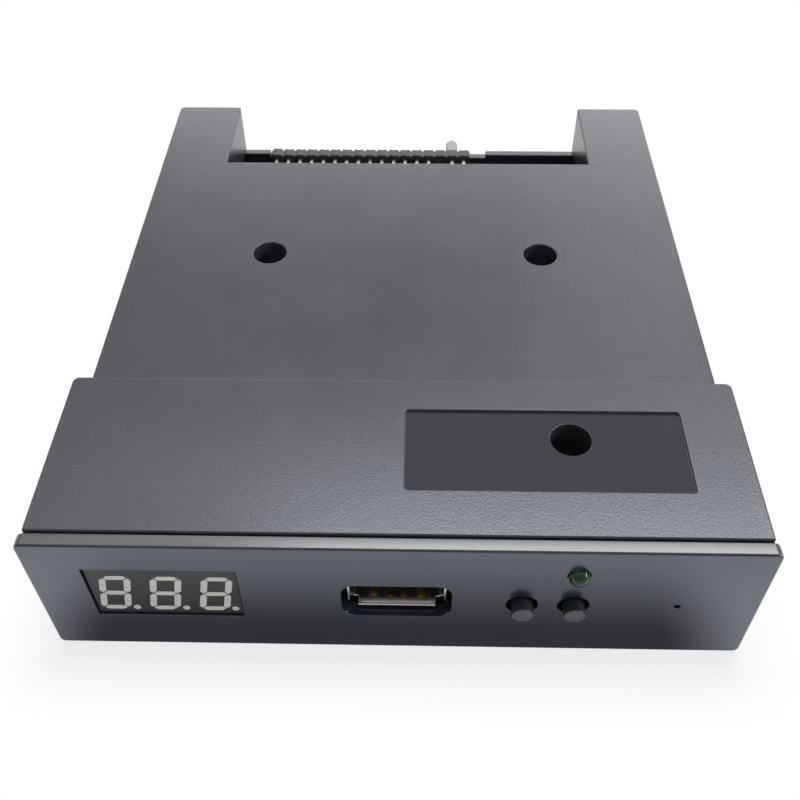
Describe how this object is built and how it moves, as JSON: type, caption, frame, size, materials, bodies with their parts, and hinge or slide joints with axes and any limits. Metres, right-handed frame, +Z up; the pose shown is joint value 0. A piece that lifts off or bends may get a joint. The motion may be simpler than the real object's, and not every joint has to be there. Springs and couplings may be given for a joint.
{
  "type": "floppy drive emulator",
  "caption": "Floppy drive emulator for a 3.5-inch bay: black moulded case with a bezel, digit display, USB socket, push buttons, status light and a rear pin header.",
  "frame": {"origin": "middle of the overall box in plan, on the base plane", "axes": "+X to the right seen from the front, +Y to the back, +Z up"},
  "size_m": [0.1016, 0.1218, 0.0254],
  "materials": {
    "case_plastic": "black moulded plastic with a fine spark texture",
    "bezel_plastic": "black moulded plastic, smooth satin",
    "screw_steel": "zinc plated",
    "board_green": "dark green solder mask over glass fibre",
    "display_black": "black filled display face",
    "segment_white": "milky unlit light guides",
    "tin": "tinned leads",
    "nickel_sheet": "nickel plated sheet steel",
    "gold_plating": "thin gold plating",
    "pin_plating": "pale plated pins",
    "black_nylon": "black glass filled nylon",
    "button_grey": "dark grey moulded plastic",
    "light_green": "green tinted clear epoxy",
    "natural_nylon": "natural nylon",
    "chip_black": "black moulding compound",
    "can_aluminium": "drawn metal can",
    "ceramic_tan": "tan ceramic",
    "fuse_green": "green coated polymer fuse"
  },
  "bodies": {
    "drive": {"top_cover": "case_plastic", "bottom_tray": "case_plastic", "front_bezel": "bezel_plastic", "case_screws": "screw_steel", "main_board": "board_green", "display_board": "board_green", "display_housing": "display_black", "display_segments": "segment_white", "display_pins": "tin", "display_link_body": "black_nylon", "display_link_pins": "gold_plating", "display_driver": "chip_black", "display_driver_legs": "tin", "usb_shell": "nickel_sheet", "usb_tongue": "black_nylon", "usb_contacts": "gold_plating", "left_switch_body": "black_nylon", "right_switch_body": "black_nylon", "left_switch_plate": "nickel_sheet", "right_switch_plate": "nickel_sheet", "left_snap_dome": "nickel_sheet", "right_snap_dome": "nickel_sheet", "switch_leads": "tin", "status_light": "light_green", "light_leads": "tin", "light_spacer": "black_nylon", "floppy_header_body": "black_nylon", "floppy_header_pins": "pin_plating", "power_socket_body": "natural_nylon", "power_socket_pins": "tin", "microcontroller": "chip_black", "microcontroller_legs": "tin", "crystal": "can_aluminium", "voltage_regulator": "chip_black", "regulator_legs": "tin", "line_drivers": "chip_black", "line_driver_legs": "tin", "capacitor_can": "can_aluminium", "capacitor_foot": "black_nylon", "fuse": "fuse_green", "chip_resistors": "chip_black", "chip_capacitors": "ceramic_tan"},
    "left_push": {"left_button": "button_grey"},
    "right_push": {"right_button": "button_grey"},
    "jumper": {"jumper_cap": "natural_nylon", "jumper_clip": "gold_plating"}
  },
  "joints": [
    {"name": "left_button_press", "type": "slide", "parent": "drive", "child": "left_push", "axis": [0, 1, 0], "range_m": [0, 0.0003], "stiffness_N_per_m": 500, "deforming": ["left_snap_dome"]},
    {"name": "right_button_press", "type": "slide", "parent": "drive", "child": "right_push", "axis": [0, 1, 0], "range_m": [0, 0.0003], "stiffness_N_per_m": 500, "deforming": ["right_snap_dome"]},
    {"name": "jumper_pull", "type": "slide", "parent": "drive", "child": "jumper", "axis": [0, 1, 0], "range_m": [0, 0.008]}
  ]
}
